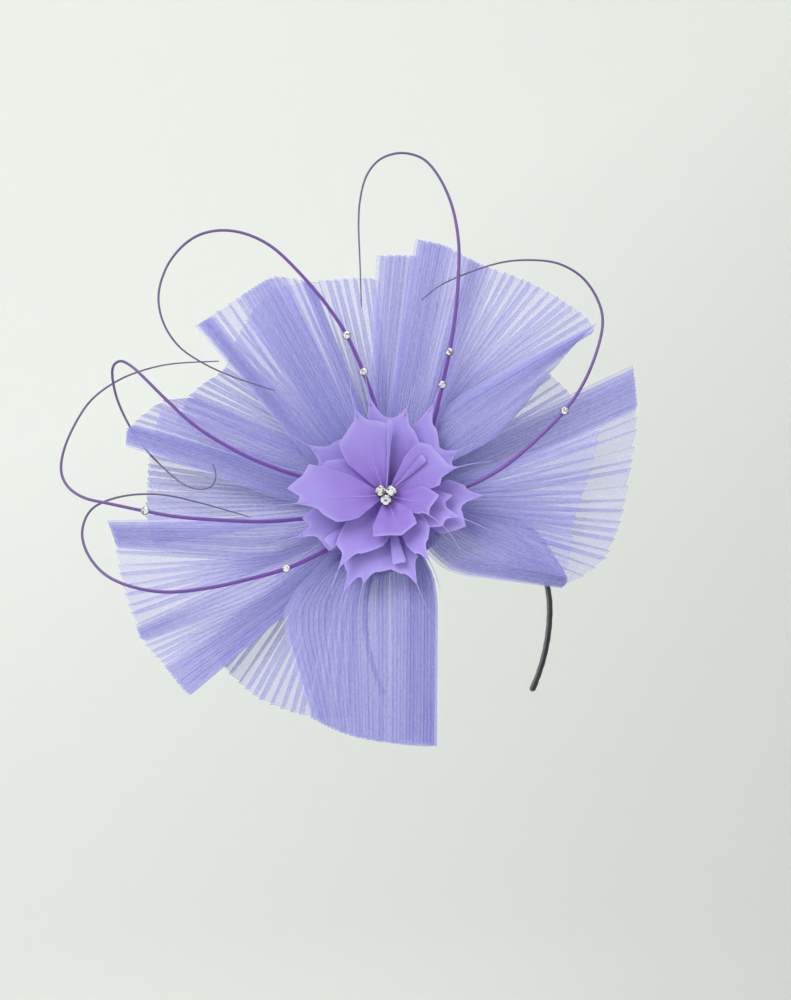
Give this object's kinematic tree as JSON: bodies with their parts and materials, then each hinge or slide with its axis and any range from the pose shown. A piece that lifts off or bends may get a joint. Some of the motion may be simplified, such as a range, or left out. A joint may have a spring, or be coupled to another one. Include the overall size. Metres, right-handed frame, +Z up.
{
  "type": "fascinator headpiece",
  "caption": "Fascinator headpiece with a pleated crin fan, a cut-feather flower with crystals and looped quills, on a base and spring headband.",
  "frame": {"origin": "centre of the headband's round arc, where the middle of the wearer's head is", "axes": "+Z up, -Y the way the fan faces, +X the viewer's right as the fan is looked at; the band's plane is turned 17 degrees about Z from the XZ plane"},
  "size_m": [0.3905, 0.1336, 0.404],
  "materials": {
    "crin": "sheer pleated horsehair braid",
    "feather": "dyed goose feather, matt",
    "quill": "dyed stripped quill, satin",
    "crystal": "cut crystal with foil back",
    "dark_metal": "blackened metal cups",
    "spring_steel": "bare spring steel strip",
    "black_satin": "satin ribbon",
    "felt": "dyed wool felt",
    "buckram": "stiffened open-weave buckram",
    "sinamay": "open-weave sinamay straw",
    "thread": "sewing thread"
  },
  "bodies": {
    "headpiece": {"band_crown_spring": "spring_steel", "band_crown_satin": "black_satin", "band_stitches": "thread", "base_lining": "felt", "base_form": "buckram", "base_cover": "sinamay", "base_binding": "sinamay", "riser": "felt", "fan_disc": "felt", "centre_pad": "felt", "gather_thread": "thread", "flower_disc": "felt", "centre_setting": "dark_metal", "centre_crystals": "crystal", "crin_bottom": "crin", "crin_lower_left_back": "crin", "crin_lower_left": "crin", "crin_left_back": "crin", "crin_left": "crin", "crin_upper_left": "crin", "crin_upper_left_back": "crin", "crin_top_strip": "crin", "crin_top": "crin", "crin_upper_right": "crin", "crin_right": "crin", "crin_curl": "crin", "petal_back_1": "feather", "petal_back_2": "feather", "petal_back_3": "feather", "petal_back_4": "feather", "petal_back_5": "feather", "petal_middle_1": "feather", "petal_middle_2": "feather", "petal_middle_3": "feather", "petal_middle_4": "feather", "petal_middle_5": "feather", "petal_front_1": "feather", "petal_front_2": "feather", "petal_front_3": "feather", "petal_front_4": "feather", "petal_front_5": "feather", "petal_front_6": "feather"},
    "band_left_leg": {"band_left_spring": "spring_steel", "band_left_satin": "black_satin", "band_left_tip": "black_satin"},
    "band_right_leg": {"band_right_spring": "spring_steel", "band_right_satin": "black_satin", "band_right_tip": "black_satin"},
    "quill_1_spray": {"quill_1": "quill", "quill_1_stones": "crystal"},
    "quill_2_spray": {"quill_2": "quill", "quill_2_stones": "crystal"},
    "quill_3_spray": {"quill_3": "quill", "quill_3_stone": "crystal"},
    "quill_4_spray": {"quill_4": "quill"},
    "quill_5_spray": {"quill_5": "quill", "quill_5_stone": "crystal"},
    "quill_6_spray": {"quill_6": "quill", "quill_6_stone": "crystal"}
  },
  "joints": [
    {"name": "band_left_flex", "type": "hinge", "parent": "headpiece", "child": "band_left_leg", "pos_m": [0.06627, 0.02026, 0], "axis": [0.2924, -0.9563, 0], "range_deg": [0, 12], "stiffness_Nm_per_rad": 0.35},
    {"name": "band_right_flex", "type": "hinge", "parent": "headpiece", "child": "band_right_leg", "pos_m": [-0.06627, -0.02026, 0], "axis": [-0.2924, 0.9563, 0], "range_deg": [0, 12], "stiffness_Nm_per_rad": 0.35},
    {"name": "quill_1_sway", "type": "hinge", "parent": "headpiece", "child": "quill_1_spray", "pos_m": [-0.05, -0.0693, 0.09918], "axis": [0, -0.9848, 0.1736], "range_deg": [-4, 4], "stiffness_Nm_per_rad": 0.1},
    {"name": "quill_2_sway", "type": "hinge", "parent": "headpiece", "child": "quill_2_spray", "pos_m": [-0.03, -0.06964, 0.09721], "axis": [0, -0.9848, 0.1736], "range_deg": [-4, 4], "stiffness_Nm_per_rad": 0.1},
    {"name": "quill_3_sway", "type": "hinge", "parent": "headpiece", "child": "quill_3_spray", "pos_m": [-0.032, -0.07312, 0.07752], "axis": [0, -0.9848, 0.1736], "range_deg": [-4, 4], "stiffness_Nm_per_rad": 0.1},
    {"name": "quill_4_sway", "type": "hinge", "parent": "headpiece", "child": "quill_4_spray", "pos_m": [-0.074, -0.07173, 0.08539], "axis": [0, -0.9848, 0.1736], "range_deg": [-3, 3], "stiffness_Nm_per_rad": 0.1},
    {"name": "quill_5_sway", "type": "hinge", "parent": "headpiece", "child": "quill_5_spray", "pos_m": [-0.073, -0.07381, 0.07358], "axis": [0, -0.9848, 0.1736], "range_deg": [-4, 4], "stiffness_Nm_per_rad": 0.1},
    {"name": "quill_6_sway", "type": "hinge", "parent": "headpiece", "child": "quill_6_spray", "pos_m": [-0.07, -0.0759, 0.06176], "axis": [0, -0.9848, 0.1736], "range_deg": [-4, 4], "stiffness_Nm_per_rad": 0.1}
  ]
}
